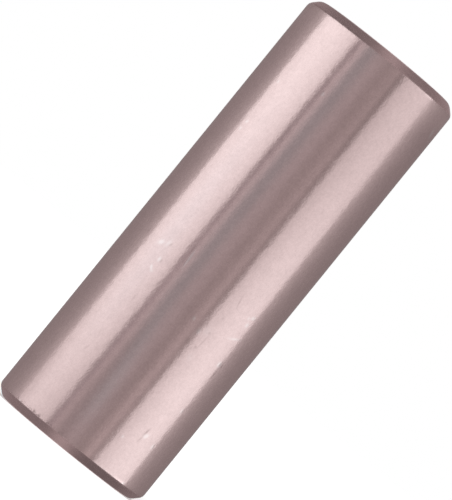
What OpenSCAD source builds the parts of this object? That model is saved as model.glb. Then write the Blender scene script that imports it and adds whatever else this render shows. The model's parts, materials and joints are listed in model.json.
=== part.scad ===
// Gudgeon pin: the hollow steel pin that joins a piston to its connecting rod.
// It is one piece: turned and bored from bar, chamfered, hardened, and ground to a polished barrel.
// It stands on one end, with its axis along +Z and the origin at the middle of the lower end face.

/* [Barrel] */
// Outside diameter of the ground barrel
pin_d = 20; // [18:0.5:40]
// Length over both end faces: a nominal 56 mm less the end float between the circlips
pin_length = 55.7; // [20:0.1:120]

/* [Bore] */
// Diameter of the bore that runs right through to lighten the pin
bore_d = 12; // [5:0.5:14]
// Width of the countersink at each mouth of the bore, measured along the radius
mouth_width = 0.8; // [0.2:0.1:2]
// Depth of that countersink, measured along the axis
mouth_depth = 0.8; // [0.2:0.1:4]

/* [End chamfers] */
// Width of the chamfer round each end, measured along the radius
chamfer_width = 1.05; // [0.6:0.05:2]
// Length of that chamfer, measured along the axis
chamfer_length = 1.05; // [0.6:0.05:4]
// Radius that blends the chamfer into the end face
face_round = 1.2; // [0.1:0.05:1.5]
// Radius that blends the chamfer into the barrel
barrel_round = 1; // [0.1:0.05:1.2]

/* [Hidden] */
$fn = 128;

// Degrees by which a round laps onto the two faces that it joins, so that it crosses them cleanly
round_lap = 1;

pin_r = pin_d / 2;
bore_r = bore_d / 2;

// Corners of the lower end's outline, as [radius, height], with every edge still sharp
mouth_top = [bore_r, mouth_depth];
mouth_edge = [bore_r + mouth_width, 0];
face_edge = [pin_r - chamfer_width, 0];
barrel_edge = [pin_r, chamfer_length];
lower_end = [mouth_top, mouth_edge, face_edge, barrel_edge];
upper_end = [for (i = [len(lower_end) - 1:-1:0]) [lower_end[i].x, pin_length - lower_end[i].y]];

// Directions that the lower end's outer faces look in, as angles from the radius
face_angle = -90;
chamfer_angle = face_angle + atan2(chamfer_length, chamfer_width);
barrel_angle = 0;

// Centres of the rounds, each as far from both of its faces as its own radius
face_round_centre = face_edge + [-face_round * tan((chamfer_angle - face_angle) / 2), face_round];
barrel_round_centre = barrel_edge + [-barrel_round, barrel_round * tan((barrel_angle - chamfer_angle) / 2)];

// What a round takes off a corner: the wedge between the two face directions, outside the round's disc
module corner_waste(centre, radius, from_angle, to_angle) {
    wedge_reach = 2 * radius;
    translate(centre) difference() {
        polygon([
            [0, 0],
            for (share = [0:0.5:1])
                let (a = from_angle + share * (to_angle - from_angle))
                wedge_reach * [cos(a), sin(a)]
        ]);
        circle(r = radius / cos(round_lap));
    }
}

module end_waste() {
    corner_waste(face_round_centre, face_round, face_angle, chamfer_angle);
    corner_waste(barrel_round_centre, barrel_round, chamfer_angle, barrel_angle);
}

// The wall of the pin, cut through the axis
module wall_section() {
    difference() {
        polygon(concat(lower_end, upper_end));
        end_waste();
        translate([0, pin_length]) mirror([0, 1]) end_waste();
    }
}

module gudgeon_pin() {
    color([0.86, 0.72, 0.71]) rotate_extrude() wall_section();
}

gudgeon_pin();
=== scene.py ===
import json
import math

import bpy
from mathutils import Matrix, Vector


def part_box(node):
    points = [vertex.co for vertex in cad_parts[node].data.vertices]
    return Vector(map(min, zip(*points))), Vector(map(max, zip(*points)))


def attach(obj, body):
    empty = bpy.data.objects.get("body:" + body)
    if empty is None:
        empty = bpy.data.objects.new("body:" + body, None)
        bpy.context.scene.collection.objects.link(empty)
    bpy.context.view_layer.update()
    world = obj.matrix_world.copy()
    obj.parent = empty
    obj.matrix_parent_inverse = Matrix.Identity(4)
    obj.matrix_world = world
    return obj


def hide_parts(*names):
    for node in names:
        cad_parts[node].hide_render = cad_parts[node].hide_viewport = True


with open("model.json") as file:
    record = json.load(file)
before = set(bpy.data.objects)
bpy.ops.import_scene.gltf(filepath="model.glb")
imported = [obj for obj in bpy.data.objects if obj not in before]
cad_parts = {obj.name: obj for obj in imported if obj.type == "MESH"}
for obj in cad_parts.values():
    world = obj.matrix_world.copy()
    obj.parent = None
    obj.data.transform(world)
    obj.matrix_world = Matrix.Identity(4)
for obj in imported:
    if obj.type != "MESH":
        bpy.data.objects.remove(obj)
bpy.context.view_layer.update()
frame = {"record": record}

# The pin's form
# A gudgeon pin is one length of case-hardening steel, turned, bored and chamfered on a lathe.
# Its wall's outline, with every edge rounded, is swung round the axis as the lathe would cut it.

MM = 0.001
fits = {mount["name"]: mount["dims"] for mount in frame["record"]["mounts"]}
pin_radius = fits["barrel"]["r_mm"] * MM
bore_radius = fits["bore"]["r_mm"] * MM
foot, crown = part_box("gudgeon_pin")
pin_length = crown.z - foot.z
countersink = (pin_length - fits["bore"]["length_mm"] * MM) / 2
chamfer = 1.05 * MM
face_round = 1.2 * MM
barrel_round = 1.0 * MM
mouth_round = 0.08 * MM
middle_of_wall = (bore_radius + pin_radius) / 2
steps_in_round = 12
faces_round_pin = 360
row_height = 3 * MM


def rounded_outline(corners):
    """Points round a closed outline of (place, radius) corners, each with the way its surface faces."""
    points = []
    for i, (corner, radius) in enumerate(corners):
        arrive = (corner - corners[i - 1][0]).normalized()
        leave = (corners[(i + 1) % len(corners)][0] - corner).normalized()
        first, last = Vector((arrive.y, -arrive.x)), Vector((leave.y, -leave.x))
        turn = first.angle_signed(last)
        centre = corner - (first + last) * (radius / (1 + first.dot(last)))
        for step in range(steps_in_round + 1):
            facing = first.copy()
            facing.rotate(Matrix.Rotation(-turn * step / steps_in_round, 2))
            points.append((centre + facing * radius, facing))
    return points


def with_rows(points):
    """The same points, with more of them along each straight run, so that no row of faces is long."""
    filled = []
    for (place, facing), (after, _) in zip(points, points[1:] + points[:1]):
        rows = max(1, round((after - place).length / row_height))
        filled += [(place.lerp(after, row / rows), facing) for row in range(rows)]
    return filled


lower_corners = [
    (Vector((bore_radius, countersink)), mouth_round),
    (Vector((bore_radius + countersink, 0)), mouth_round),
    (Vector((pin_radius - chamfer, 0)), face_round),
    (Vector((pin_radius, chamfer)), barrel_round),
]
upper_corners = [
    (Vector((place.x, pin_length - place.y)), radius) for place, radius in reversed(lower_corners)
]
outline = with_rows(rounded_outline(lower_corners + upper_corners))

FINISHES = ("ground_barrel", "turned_chamfer", "faced_end", "reamed_bore")


def finish_of(place, facing):
    """Which of the finishes a stretch of the outline has, from where it is and the way that it faces."""
    mostly = 0.9
    outside = place.x > middle_of_wall
    if abs(facing.y) > mostly:
        return FINISHES.index("faced_end")
    if outside and facing.x > mostly:
        return FINISHES.index("ground_barrel")
    return FINISHES.index("turned_chamfer" if outside else "reamed_bore")


def swung(point, turn):
    """A point or direction of the outline, turned round Z from the front of the pin."""
    return Vector((point.x * math.sin(turn), -point.x * math.cos(turn), point.y))


def add_mesh(name, places, faces):
    """A new object in the scene, with these points and faces."""
    mesh = bpy.data.meshes.new(name)
    mesh.from_pydata(places, [], faces)
    made = bpy.data.objects.new(name, mesh)
    bpy.context.scene.collection.objects.link(made)
    return made


def swing_round_axis(name, points):
    """A closed mesh made by turning the outline round Z, with true normals and a finish for each face."""
    places, normals, faces, finishes = [], [], [], []
    count = len(points)
    for i in range(faces_round_pin):
        turn = math.tau * i / faces_round_pin
        places += [swung(place, turn) for place, _ in points]
        normals += [swung(facing, turn) for _, facing in points]
        here, beside = i * count, (i + 1) % faces_round_pin * count
        for j, (place, facing) in enumerate(points):
            k = (j + 1) % count
            after, facing_after = points[k]
            faces.append((here + j, beside + j, beside + k, here + k))
            finishes.append(finish_of((place + after) / 2, (facing + facing_after).normalized()))
    made = add_mesh(name, places, faces)
    made.data.polygons.foreach_set("material_index", finishes)
    made.data.shade_smooth()
    made.data.normals_split_custom_set_from_vertices(normals)
    return made


pin = swing_round_axis("finished_pin", outline)
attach(pin, "root")
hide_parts("gudgeon_pin")

# The ground barrel
# After hardening, the outside is ground between wheels and lapped until it mirrors its surroundings.
# It keeps faint rings from the wheel, a slight ripple from the lap, and a few marks from handling, whose
# dents carry painted highlights and some of whose dark marks are the dents' painted shade.

steel_colour = (0.90, 0.715, 0.708)
# The dark of scratches and chips, also used as the painted shade beside some dents
scratch_and_shade_colour = (0.52, 0.40, 0.395)
# The dents' colour is a painted highlight
dent_glint_colour = (1.0, 0.875, 0.87)
grazing_tint = (1.0, 0.935, 0.935, 1.0)


class Signal:
    """A socket in a shader. Sums on it add the Math nodes that work them out."""

    def __init__(self, tree, socket=None):
        self.tree = tree
        self.socket = socket

    def node(self, kind, settings, inputs, output=0):
        """Adds a node, with its settings first and then its sockets' values or links. Gives one output."""
        made = self.tree.nodes.new("ShaderNode" + kind)
        for name, value in settings.items():
            setattr(made, name, value)
        for name, value in inputs.items():
            socket = find_socket(made.inputs, name)
            if isinstance(value, Signal):
                self.tree.links.new(value.socket, socket)
            else:
                socket.default_value = value
        return Signal(self.tree, find_socket(made.outputs, output) if made.outputs else None)

    def maths(self, operation, *others):
        return self.node("Math", {"operation": operation}, dict(enumerate((self, *others))))

    def smooth(self, start, end):
        """0 up to start and 1 from end on, with a soft step between. Start may be the higher of the two."""
        limits = {"Value": self, "From Min": start, "From Max": end}
        return self.node("MapRange", {"interpolation_type": "SMOOTHSTEP"}, limits)

    def __add__(self, other):
        return self.maths("ADD", other)

    def __sub__(self, other):
        return self.maths("SUBTRACT", other)

    def __rsub__(self, other):
        return self.node("Math", {"operation": "SUBTRACT"}, {0: other, 1: self})

    def __mul__(self, other):
        return self.maths("MULTIPLY", other)

    def __truediv__(self, other):
        return self.maths("DIVIDE", other)

    def __pow__(self, other):
        return self.maths("POWER", other)

    def __neg__(self):
        return self.maths("MULTIPLY", -1)

    def __abs__(self):
        return self.maths("ABSOLUTE")

    __radd__ = __add__
    __rmul__ = __mul__


def find_socket(sockets, name):
    """One of a node's sockets, by its number, or by its identifier, which differs where names repeat."""
    if isinstance(name, int):
        return sockets[name]
    return next(socket for socket in sockets if socket.identifier == name)


def empty_tree(owner):
    """The node tree of a material or world, cleared, as a signal to add nodes with."""
    owner.use_nodes = True
    owner.node_tree.nodes.clear()
    return Signal(owner.node_tree)


def toned(colour, tone):
    """A colour made lighter or darker by a tone that changes from place to place."""
    return tone.node("VectorMath", {"operation": "SCALE"}, {"Vector": colour, "Scale": tone})


def mixed(share, start, end):
    """The colour that is start where the share is 0 and end where it is 1."""
    colours = {"A_Color": start, "B_Color": end}
    for name, colour in colours.items():
        if not isinstance(colour, Signal):
            colours[name] = (*colour, 1)
    return share.node("Mix", {"data_type": "RGBA"}, {"Factor_Float": share, **colours}, "Result_Color")


def falling(spread):
    """1 where the spread is 0, and less and less as it grows."""
    return (-spread).maths("EXPONENT")


def bump_at(value, middle, half_width):
    """1 where the value is at the middle, falling away on both sides of it."""
    return falling(((value - middle) / half_width) ** 2)


def noise(place, across, up, detail=2.0):
    """Noise with lumps of about these sizes across the pin and up it."""
    sizes = (across, across, up)
    stretched = place.node("VectorMath", {"operation": "DIVIDE"}, {0: place, 1: sizes})
    return place.node("TexNoise", {}, {"Vector": stretched, "Scale": 1.0, "Detail": detail}, "Fac")


def coordinates(place):
    """A place's X, Y and Z."""
    return [place.node("SeparateXYZ", {}, {"Vector": place}, axis) for axis in "XYZ"]


def finish_material(name, surface_of):
    """Bare metal. From a place on the pin, surface_of gives colour, roughness, relief and its depth."""
    material = bpy.data.materials.new(name)
    tree = empty_tree(material)
    place = tree.node("TexCoord", {}, {}, "Object")
    colour, roughness, relief, relief_depth = surface_of(place)
    raised = tree.node("Bump", {}, {"Height": relief, "Distance": relief_depth, "Strength": 1.0})
    surface = {
        "Base Color": colour,
        "Metallic": 1.0,
        "Roughness": roughness,
        "Specular Tint": grazing_tint,
        "Normal": raised,
    }
    shader = tree.node("BsdfPrincipled", {}, surface)
    tree.node("OutputMaterial", {}, {"Surface": shader})
    pin.data.materials.append(material)


# A mark is its turn from the front in degrees, its height, half length and half width in millimetres,
# its lean in degrees, and its strength
# Scratches, and beside some dents dark marks that are the dents' painted shade
SCRATCHES_AND_SHADE = (
    (28.1, 24.4, 0.70, 0.10, -11, 0.34),
    (25.7, 18.5, 1.00, 0.10, 5, 0.30),
    (20.4, 20.3, 0.35, 0.12, -20, 0.45),
    (26.4, 21.8, 0.18, 0.16, 0, 0.35),
    (35.3, 7.1, 0.50, 0.13, 12, 0.75),
    (34.6, 6.0, 0.45, 0.11, 12, 0.40),
    (-27.9, 22.5, 0.22, 0.15, 0, 0.45),
    (-29.8, 24.5, 0.24, 0.15, 20, 0.48),
    (-30.3, 10.3, 0.46, 0.12, 22, 0.28),
    (-26.5, 17.5, 0.60, 0.15, 0, 0.30),
    (-30.9, 1.15, 0.22, 0.18, 0, 1.00),
    (-26.0, 1.20, 0.16, 0.14, 0, 0.65),
    (-18.4, 50.1, 0.28, 0.13, 0, 0.45),
    (-17.1, 39.1, 0.30, 0.13, 0, 0.40),
    (-16.3, 25.5, 0.70, 0.10, 0, 0.40),
    (17.0, 17.6, 0.35, 0.13, 0, 0.30),
    (49.9, 17.7, 0.30, 0.11, 0, 0.70),
    (49.0, 16.4, 0.50, 0.12, 0, 0.70),
    (25.3, 19.7, 0.16, 0.14, 0, 0.50),
    (23.9, 17.6, 0.16, 0.14, 0, 0.50),
    (50.0, 1.50, 0.18, 0.12, 0, 0.60),
    (-51.4, 24.2, 0.35, 0.15, 0, 0.45),
)
# Dents: their relief is real, and their bright colour is a painted highlight
DENTS_AND_GLINTS = (
    (-36.8, 24.1, 0.40, 0.24, 52, 1.20),
    (-31.7, 24.5, 0.46, 0.22, 14, 0.70),
    (-29.7, 22.5, 0.27, 0.16, 0, 1.40),
    (-30.6, 21.3, 0.28, 0.13, -37, 1.50),
    (-28.8, 21.0, 0.22, 0.16, 60, 0.70),
    (37.0, 6.7, 0.30, 0.20, 30, 1.70),
    (46.8, 6.2, 0.28, 0.18, 0, 1.10),
    (44.6, 23.9, 0.30, 0.20, 60, 1.20),
    (41.4, 23.6, 0.20, 0.15, 0, 0.80),
    (44.0, 22.9, 0.28, 0.22, 0, 1.20),
    (43.4, 20.9, 0.75, 0.14, 67, 1.00),
    (46.9, 17.7, 0.30, 0.24, 0, 1.80),
    (23.3, 19.7, 0.55, 0.40, 0, 0.30),
    (25.3, 16.3, 0.45, 0.35, 0, 0.25),
    (-45.3, 45.6, 0.20, 0.16, 0, 0.90),
    (-44.6, 40.1, 0.22, 0.17, 40, 1.00),
    (-45.4, 39.1, 0.20, 0.17, 0, 0.90),
    (71.2, 51.8, 0.55, 0.34, -30, 1.40),
    (-45.6, 1.05, 0.15, 0.15, 0, 1.00),
    (47.2, 1.10, 0.16, 0.15, 0, 1.40),
    (47.2, 11.2, 0.26, 0.18, 0, 0.90),
    (23.8, 5.1, 0.18, 0.15, 0, 0.90),
    (11.5, 19.9, 0.22, 0.16, 0, 1.50),
    (-14.4, 24.6, 0.90, 0.10, -3, 1.90),
    (-14.3, 47.5, 0.24, 0.14, 0, 1.50),
    (18.9, 19.1, 0.34, 0.20, 0, 1.00),
)


def marks_on(place, marks):
    """How strongly any of these marks shows at a place: 1 at the middle of a strong one."""
    x, y, z = coordinates(place)
    around = x.maths("ARCTAN2", -y)
    shown = 0
    for turn, height, half_length, half_width, lean, strength in marks:
        across = (around - math.radians(turn)) * pin_radius
        up = z - height * MM
        cosine, sine = math.cos(math.radians(lean)), math.sin(math.radians(lean))
        along = up * cosine + across * sine
        aside = across * cosine - up * sine
        spread = (along / (half_length * MM)) ** 2 + (aside / (half_width * MM)) ** 2
        shown = shown + strength * falling(spread)
    return shown


chip_height = 1.06 * chamfer
chip_reach = 0.22 * MM
worn_side = -0.5 * pin_radius
worn_reach = 0.3 * pin_radius


def edge_chips(place):
    """Where the barrel's two edges are chipped, most at the lower left: 1 in a chip and 0 elsewhere."""
    x, _, height = coordinates(place)
    from_end = pin_length / 2 - abs(height - pin_length / 2)
    near_edge = bump_at(from_end, chip_height, chip_reach)
    worn = bump_at(x, worn_side, worn_reach) * height.smooth(0.6 * pin_length, 0.4 * pin_length)
    flakes = noise(place, 0.26 * MM, 0.2 * MM).smooth(0.5, 0.62)
    return near_edge * flakes * (0.25 + 0.75 * worn)


def ground_barrel(place):
    wheel_rings = noise(place, 6 * MM, 0.14 * MM, detail=3)
    lap_ripple = noise(place, 0.55 * MM, 0.8 * MM)
    clouding = noise(place, 1.3 * MM, 1.6 * MM, detail=3)
    mottle = noise(place, 0.45 * MM, 0.45 * MM)
    grain = noise(place, 0.2 * MM, 0.2 * MM)
    chipped = edge_chips(place)
    scratched_and_shaded = marks_on(place, SCRATCHES_AND_SHADE) + 0.8 * chipped
    dents_and_glints = marks_on(place, DENTS_AND_GLINTS)
    shade = 0.75 + 0.10 * clouding + 0.16 * mottle + 0.21 * grain + 0.03 * wheel_rings
    # The dark marks are scratches and chips, with painted shade beside some dents; the bright dents are
    # painted highlights
    steel_marked_and_shaded = mixed(scratched_and_shaded, toned(steel_colour, shade), scratch_and_shade_colour)
    colour = mixed(dents_and_glints, steel_marked_and_shaded, dent_glint_colour)
    roughness = 0.12 + 0.05 * clouding + 0.04 * wheel_rings
    finish_relief = 1.05 * lap_ripple + 0.4 * grain + 0.12 * wheel_rings
    relief = finish_relief + 0.4 * dents_and_glints - 0.4 * scratched_and_shaded - chipped
    relief_depth = 0.011 * MM
    return colour, roughness, relief, relief_depth


finish_material("ground_barrel", ground_barrel)

# The turned chamfers
# A tool cuts each chamfer on the lathe and rounds its edges, and nothing grinds it later.
# It stays duller than the barrel, browned a little by the hardening, with rings from the tool.

chamfer_colour = (0.78, 0.60, 0.595)


def turned_chamfer(place):
    tool_rings = noise(place, 4 * MM, 0.09 * MM, detail=3)
    stain = noise(place, 0.6 * MM, 0.4 * MM, detail=4)
    pitting = noise(place, 0.16 * MM, 0.16 * MM)
    shade = 0.63 + 0.22 * stain + 0.12 * tool_rings + 0.4 * pitting
    colour = mixed(0.45 * edge_chips(place), toned(chamfer_colour, shade), scratch_and_shade_colour)
    roughness = 0.22 + 0.1 * stain
    relief = tool_rings + 0.6 * pitting
    relief_depth = 0.006 * MM
    return colour, roughness, relief, relief_depth


finish_material("turned_chamfer", turned_chamfer)

# The faced ends
# Each end is faced square on the lathe, from the outside in, and left as the tool leaves it.
# The tool's feed shows as fine rings round the bore, broken where the cut ran uneven.

end_colour = (0.80, 0.64, 0.63)
feed = 0.11 * MM
streak_width = 0.07 * MM


def faced_end(place):
    flat = place.node("VectorMath", {"operation": "MULTIPLY"}, {0: place, 1: (1, 1, 0)})
    radius = flat.node("VectorMath", {"operation": "LENGTH"}, {0: flat}, "Value")
    uneven = noise(place, 1.5 * MM, 1.5 * MM, detail=4)
    cut = radius * (math.tau / feed) + 2.5 * uneven
    rows = {"W": radius / streak_width, "Scale": 1.0}
    streaks = radius.node("TexNoise", {"noise_dimensions": "1D"}, rows)
    colour = toned(end_colour, 0.86 + 0.16 * uneven + 0.14 * streaks)
    roughness = 0.26 + 0.12 * uneven
    relief = cut.maths("SINE") + 2 * streaks
    relief_depth = 0.002 * MM
    return colour, roughness, relief, relief_depth


finish_material("faced_end", faced_end)

# The reamed bore
# The hole that lightens the pin is drilled through, reamed, and countersunk at both mouths.
# It is never polished: it is dull and dark, with rings from the reamer and a film of oil.

bore_colour = (0.50, 0.41, 0.40)


def reamed_bore(place):
    reamer_rings = noise(place, 5 * MM, 0.2 * MM, detail=4)
    film = noise(place, 2 * MM, 6 * MM, detail=4)
    colour = toned(bore_colour, 0.7 + 0.35 * reamer_rings + 0.25 * film)
    roughness = 0.28 + 0.2 * film
    relief_depth = 0.02 * MM
    return colour, roughness, reamer_rings, relief_depth


finish_material("reamed_bore", reamed_bore)

# The floor and the white room
# The pin stands on a plain white sheet that runs out of sight, in the soft light of a white room.
# One broad lamp, high at the front, throws the pin's shadow behind it.

white = (1.0, 1.0, 1.0)
floor_half_width = 3.0
floor_colour = (0.93, 0.93, 0.93)
floor_glow = 0.4
room_level = 0.3
lamp_strength = 1.7
lamp_height = math.radians(60)
lamp_softness = math.radians(40)


def seen_directly(tree):
    """1 for rays that see the floor or room, in the picture, in metal or through glass, and 0 for others."""
    seen = 0
    for ray in ("Is Camera Ray", "Is Glossy Ray", "Is Transmission Ray"):
        seen = seen + tree.node("LightPath", {}, {}, ray)
    return seen.maths("MINIMUM", 1.0)


def white_sheet():
    material = bpy.data.materials.new("white_sheet")
    tree = empty_tree(material)
    paper = tree.node("BsdfDiffuse", {}, {"Color": (*floor_colour, 1)})
    glow = tree.node("Emission", {}, {"Color": toned(white, floor_glow * seen_directly(tree))})
    lit = tree.node("AddShader", {}, {0: paper, 1: glow})
    tree.node("OutputMaterial", {}, {"Surface": lit})
    return material


floor_corners = [Vector((x, y, 0)) * floor_half_width for x, y in ((-1, -1), (1, -1), (1, 1), (-1, 1))]
floor = add_mesh("floor", floor_corners, [(0, 1, 2, 3)])
floor.data.materials.append(white_sheet())

room = bpy.data.worlds.new("white_room")
bpy.context.scene.world = room
room_tree = empty_tree(room)
room_tone = room_level + (1 - room_level) * seen_directly(room_tree)
room_white = room_tree.node("Background", {}, {"Color": toned(white, room_tone)})
room_tree.node("OutputWorld", {}, {"Surface": room_white})

lamp = bpy.data.objects.new("soft_lamp", bpy.data.lights.new("soft_lamp", "SUN"))
lamp.data.energy = lamp_strength
lamp.data.angle = lamp_softness
lamp.rotation_euler = (math.pi / 2 - lamp_height, 0, 0)
lamp.visible_glossy = False
bpy.context.scene.collection.objects.link(lamp)

# The camera
# A long lens looks square at the barrel from the front, a little below its middle, and is rolled so
# that the pin leans to the right in the picture.

lens_distance = 728 * MM
lens_drop = 3.6 * MM
aim_shift = 0.018 * MM
camera_roll = math.radians(39.056)
nearest_seen = 10 * MM
# A lens and its sensor are given in plain millimetres
focal_length = 478.4
sensor_width = 36

pin_middle = Vector((0, 0, pin_length / 2))
lens_place = pin_middle + Vector((0, -lens_distance, -lens_drop))
aim = pin_middle + Vector((aim_shift, 0, aim_shift))

camera = bpy.data.objects.new("camera", bpy.data.cameras.new("camera"))
camera.data.sensor_width = sensor_width
camera.data.lens = focal_length
camera.data.clip_start = nearest_seen
camera.location = lens_place
upright = (aim - lens_place).to_track_quat("-Z", "Y").to_matrix()
camera.rotation_euler = (upright @ Matrix.Rotation(camera_roll, 3, "Z")).to_euler()
bpy.context.scene.collection.objects.link(camera)
bpy.context.scene.camera = camera
bpy.context.scene.view_settings.view_transform = "Standard"

# The light panels
# The barrel's bright bands are two white panels, lit from within, at the left and the right of the pin.
# Each is set out where the lens finds it in the steel, and only reflections see it.

card_reach = 20 * MM
floor_gap = 0.02 * MM
columns_in_card = 48
least_outward = 0.1
outside_points = [
    (place, facing) for place, facing in outline
    if place.x > middle_of_wall and facing.x > least_outward
]

# The barrel's cards end part of the way round the edge between barrel and chamfer, at one row of faces
last_barrel_row = 7
chamfer_angle = math.radians(45)
rim_lean = math.sin(chamfer_angle * last_barrel_row / steps_in_round)
lean_slack = 0.01
BARREL = (-rim_lean - lean_slack, rim_lean + lean_slack)

# An edge is the share of the pin's radius at which the lens finds it, first at the foot and then at the top
LEFT_LIMIT = (-0.998, -0.998)
LEFT_OUTER = (-0.731, -0.754)
LEFT_INNER = (-0.315, -0.316)
RIGHT_INNER = (0.311, 0.318)
RIGHT_OUTER = (0.750, 0.708)
RIGHT_LIMIT = (0.998, 0.998)


def between(start, end, share):
    """The value that lies this share of the way from start to end."""
    return start + (end - start) * share


def card_place(place, facing, turn):
    """Where the lens's ray through this point of the pin ends, once the steel has turned it to a card."""
    spot = swung(place, turn)
    bounce = (spot - lens_place).normalized().reflect(swung(facing, turn))
    reach = card_reach
    if bounce.z < 0:
        reach = min(reach, (spot.z - floor_gap) / -bounce.z)
    return spot + bounce * reach


def set_up_card(name, left_edge, right_edge, leans, colour_of):
    """A card that the lens finds in the pin between two edges, where the outline's lean is within limits."""
    rows = [(place, facing) for place, facing in outside_points if leans[0] <= facing.y <= leans[1]]
    wide = columns_in_card + 1
    places, shares, heights = [], [], []
    for place, facing in rows:
        height = place.y / pin_length
        start, end = (math.asin(between(*edge, height)) for edge in (left_edge, right_edge))
        turns = [between(start, end, column / columns_in_card) for column in range(wide)]
        places += [card_place(place, facing, turn) for turn in turns]
        shares += [math.sin(turn) for turn in turns]
        heights += [height] * wide
    starts = [row * wide + column for row in range(len(rows) - 1) for column in range(columns_in_card)]
    card = add_mesh(name, places, [(i, i + 1, i + 1 + wide, i + wide) for i in starts])
    card.data.attributes.new("share", "FLOAT", "POINT").data.foreach_set("value", shares)
    card.data.attributes.new("height", "FLOAT", "POINT").data.foreach_set("value", heights)
    card.data.materials.append(glowing(name, colour_of))
    card.visible_camera = False
    card.visible_diffuse = False
    card.visible_transmission = False
    card.visible_shadow = False


def glowing(name, colour_of):
    """A card's material. colour_of gives its colour from the shares of the pin's radius and height."""
    material = bpy.data.materials.new(name)
    material.cycles.emission_sampling = "NONE"
    tree = empty_tree(material)
    share = tree.node("Attribute", {"attribute_name": "share"}, {}, "Fac")
    height = tree.node("Attribute", {"attribute_name": "height"}, {}, "Fac")
    light = tree.node("Emission", {}, {"Color": colour_of(share, height)})
    tree.node("OutputMaterial", {}, {"Surface": light})
    return material


panel_blue = (0.97, 1.0, 1.015)
panel_warm = (1.07, 0.955, 0.958)
inner_fade = 0.4
glint_place = 0.0196
glint_width = 0.003


def warm_when_dim(colour, level):
    """A light that has its own colour at level 1 and is warmer the dimmer it is."""
    return toned(mixed(1.1 * (1 - level), colour, panel_warm), level)


def panel_light(colour, level, share, inner, outer, inner_dim, outer_fade):
    """A panel's light, which is dimmer slowly towards its inner edge and quickly at both edges."""
    inward = (abs(outer[0]) - abs(share)) / (abs(outer[0]) - abs(inner[0]))
    slow_fall = inner_dim * inward.maths("MAXIMUM", 0) ** 2.2
    quick_falls = inner_fade * inward.smooth(0.9, 1.02) + outer_fade * inward.smooth(0.3, 0.0)
    return warm_when_dim(colour, level * (1 - slow_fall - quick_falls))


def at_tips(height):
    """1 near both ends of the barrel, where a panel's tips are painted brighter as a highlight in the
    rounded edge, and 0 elsewhere.
    """
    return bump_at(0.5 - abs(height - 0.5), glint_place, glint_width)


def left_panel(share, height):
    blue_part = bump_at(height, 0.47, 0.22) * bump_at(share, -0.56, 0.1)
    colour = mixed(blue_part, white, panel_blue)
    level = 0.78 + 0.255 * (1 - (1 - height) ** 2.3)
    inner_dim = 0.30
    outer_fade = 0.085 + 0.12 * height.smooth(0.4, 0.0)
    return panel_light(colour, level, share, LEFT_INNER, LEFT_OUTER, inner_dim, outer_fade)


def right_panel(share, height):
    # The glint is a painted highlight: the panel is brighter at the tips that the barrel's rounded edges
    # mirror
    corner_glint = (0.22 + 0.28 * height) * share.smooth(0.59, 0.68)
    glint = (0.08 * (1 - height) + corner_glint) * at_tips(height)
    level = (0.965 - 0.213 * height.smooth(0.2, 0.9)) * (1 + glint)
    inner_dim = 0.365 - 0.065 * height
    outer_fade = 0.08 + 0.05 * height
    return panel_light(white, level, share, RIGHT_INNER, RIGHT_OUTER, inner_dim, outer_fade)


set_up_card("left_panel", LEFT_OUTER, LEFT_INNER, BARREL, left_panel)
set_up_card("right_panel", RIGHT_INNER, RIGHT_OUTER, BARREL, right_panel)

# The grey cloths
# Grey cloth hangs before the pin and plainly behind it, for the dark bands, each cloth a card that glows.
# It is warm grey, cooler in one fold and mauve at one hem, with painted light and shade: soft folds in the
# front one, shade at its hem, and the panels' light on the edges.

warm_grey = (1.0, 0.888, 0.896)
cool_grey = (1.0, 0.975, 1.0)
brown_grey = (1.0, 0.88, 0.877)
mauve_grey = (1.0, 0.88, 0.913)
cloth_level = 0.333
fold_width = 0.262
fold_shift = 0.010
spill_width = 0.085


def front_cloth(share, height):
    aside = abs(share)
    rightward = share.smooth(-0.1, 0.1)
    fold_turn = (share + fold_shift) * (math.tau / fold_width)
    fold_shading = 0.032 * fold_turn.maths("COSINE")
    left_light = 0.055 + 0.058 * height.smooth(0.1, 0.45) + 0.04 * height.smooth(0.6, 0.95)
    right_light = 0.085 - 0.10 * height
    lit_fold = between(left_light, right_light, rightward) * aside.smooth(0.15, 0.24)
    left_hem_shade = 0.075 + 0.165 * height
    right_hem_shade = 0.105
    at_hem = aside.smooth(0.245, 0.285) - 0.5 * aside.smooth(0.295, 0.32)
    painted_hem_shade = between(left_hem_shade, right_hem_shade, rightward) * at_hem
    cool_drift = 0.09 * height.smooth(0.4, 0.1)
    cool_fold = bump_at(share - cool_drift, -0.137, 0.075) * height.smooth(0.03, 0.13)
    left_grey = mixed(at_hem, warm_grey, mauve_grey)
    grey = mixed(share.smooth(0.0, 0.13), left_grey, brown_grey)
    # The cloth's glow paints its own light and shade: the folds' ripple, the panels' light near its edges
    # and the shade at its hem
    return toned(mixed(cool_fold, grey, cool_grey), cloth_level + fold_shading + lit_fold - painted_hem_shade)


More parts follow.
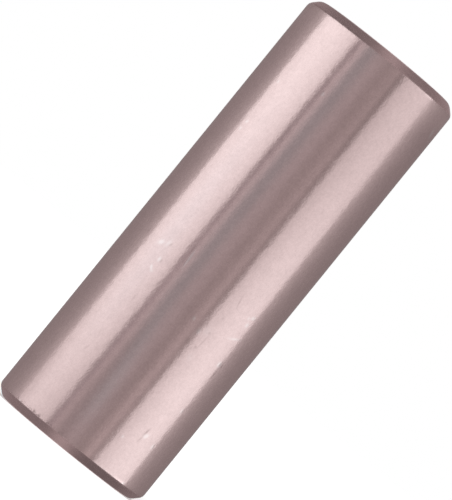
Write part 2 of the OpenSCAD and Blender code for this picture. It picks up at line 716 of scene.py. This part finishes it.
def rear_cloth(panel_edge, level, top_lift, spill):
    """The cloth behind, a little lighter at the top, with a panel's spill painted as light next to its outer
    edge.
    """
    foot_edge, top_edge = abs(panel_edge[0]), abs(panel_edge[1])

    def colour_of(share, height):
        away = (abs(share) - between(foot_edge, top_edge, height)) / spill_width
        plain = level + top_lift * height.smooth(0.92, 0.96)
        return warm_when_dim(white, plain + spill * falling(away))

    return colour_of


left_rear = rear_cloth(LEFT_OUTER, level=0.229, top_lift=0.012, spill=0.275)
right_rear = rear_cloth(RIGHT_OUTER, level=0.212, top_lift=0.035, spill=0.285)
set_up_card("front_cloth", LEFT_INNER, RIGHT_INNER, BARREL, front_cloth)
set_up_card("left_rear_cloth", LEFT_LIMIT, LEFT_OUTER, BARREL, left_rear)
set_up_card("right_rear_cloth", RIGHT_OUTER, RIGHT_LIMIT, BARREL, right_rear)

# The rim flags
# Two dark cards, one over the top rim and one on the floor round the foot, keep the chamfers dark; the foot
# one is a painted shadow, for the shade round the pin's foot.
# Each has a paler part near its middle, and the top one has a painted lit outer edge and a painted dark
# line.

steepest_lean = 0.98
TOP_RIM = (rim_lean - lean_slack, steepest_lean)
FOOT_RIM = (-steepest_lean, lean_slack - rim_lean)
pale_width = 0.17


def flag_tone(share, left, right, sides, pale_middle, pale):
    """A flag's tone, which goes from left to right, is lighter by its sides, and has a pale part."""
    plain = between(left, right, share.smooth(-0.5, 0.5))
    at_sides = abs(share).smooth(0.6, 1.0)
    return plain + sides * at_sides + pale * bump_at(share, pale_middle, pale_width)


def top_flag(share, height):
    # A painted dark line along the flag's lower edge on the left, and a painted lit edge at its top and
    # sides
    painted_dark_line = 0.08 * bump_at(height, 0.9838, 0.001) * share.smooth(-0.2, -0.4)
    lit_edge = height.smooth(0.9982, 1.0) + abs(share).smooth(0.972, 1.004)
    tone = flag_tone(share, left=0.23, right=0.255, sides=0.08, pale_middle=0.09, pale=0.2)
    return mixed(lit_edge, toned(warm_grey, tone - painted_dark_line), white)


def foot_shadow_flag(share, _):
    # The foot flag is a painted shadow: it stands for the floor's shade round the pin's foot
    tone = flag_tone(share, left=0.245, right=0.187, sides=0.05, pale_middle=-0.075, pale=0.205)
    return toned(warm_grey, tone)


set_up_card("top_flag", LEFT_LIMIT, RIGHT_LIMIT, TOP_RIM, top_flag)
set_up_card("foot_shadow_flag", LEFT_LIMIT, RIGHT_LIMIT, FOOT_RIM, foot_shadow_flag)
